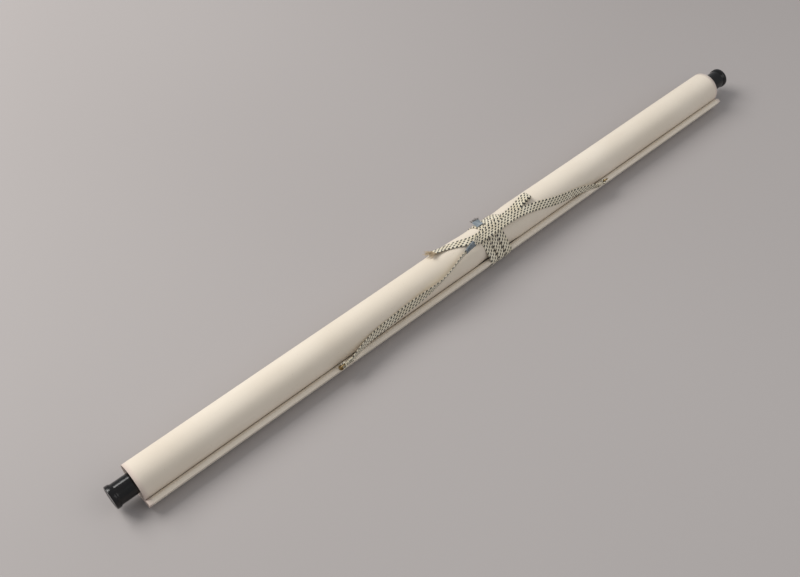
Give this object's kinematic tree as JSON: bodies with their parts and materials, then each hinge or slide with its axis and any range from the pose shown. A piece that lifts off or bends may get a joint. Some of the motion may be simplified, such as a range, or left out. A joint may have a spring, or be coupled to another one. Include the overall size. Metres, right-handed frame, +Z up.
{
  "type": "hanging scroll",
  "caption": "Rolled hanging scroll on a wooden rod with lacquered end knobs, tied round the middle with a flat braided ribbon.",
  "frame": {"origin": "on the table, midway between the two knob ends and midway between the stave's ridge in front and the roll's back", "axes": "+X along the roll, +Z up, +Y to the back; the stave and the eyelets are at the front, -Y"},
  "size_m": [0.831, 0.0468, 0.0425],
  "materials": {
    "sheet": "matt mounting paper, warm cream",
    "rod_wood": "planed softwood, unfinished",
    "lacquer": "turned wood under glossy black lacquer",
    "eyelet_metal": "aged brass wire",
    "braid": "flat silk braid, cream with staggered dark dashes",
    "binding_thread": "grey-blue silk thread, wound close"
  },
  "bodies": {
    "root": {"paper_roll": "sheet", "roller_rod": "rod_wood", "roller_knob_left": "lacquer", "roller_knob_right": "lacquer", "top_stave": "rod_wood", "eyelet_left": "eyelet_metal", "eyelet_right": "eyelet_metal", "eyelet_washer_left": "eyelet_metal", "eyelet_washer_right": "eyelet_metal", "hanging_cord": "braid", "hanging_cord_tie_left": "braid", "hanging_cord_tie_right": "braid", "cord_binding": "binding_thread", "wrapping_ribbon_turns": "braid", "wrapping_ribbon_bow": "braid", "wrapping_ribbon_tail": "braid", "wrapping_ribbon_tab": "binding_thread"}
  },
  "joints": []
}
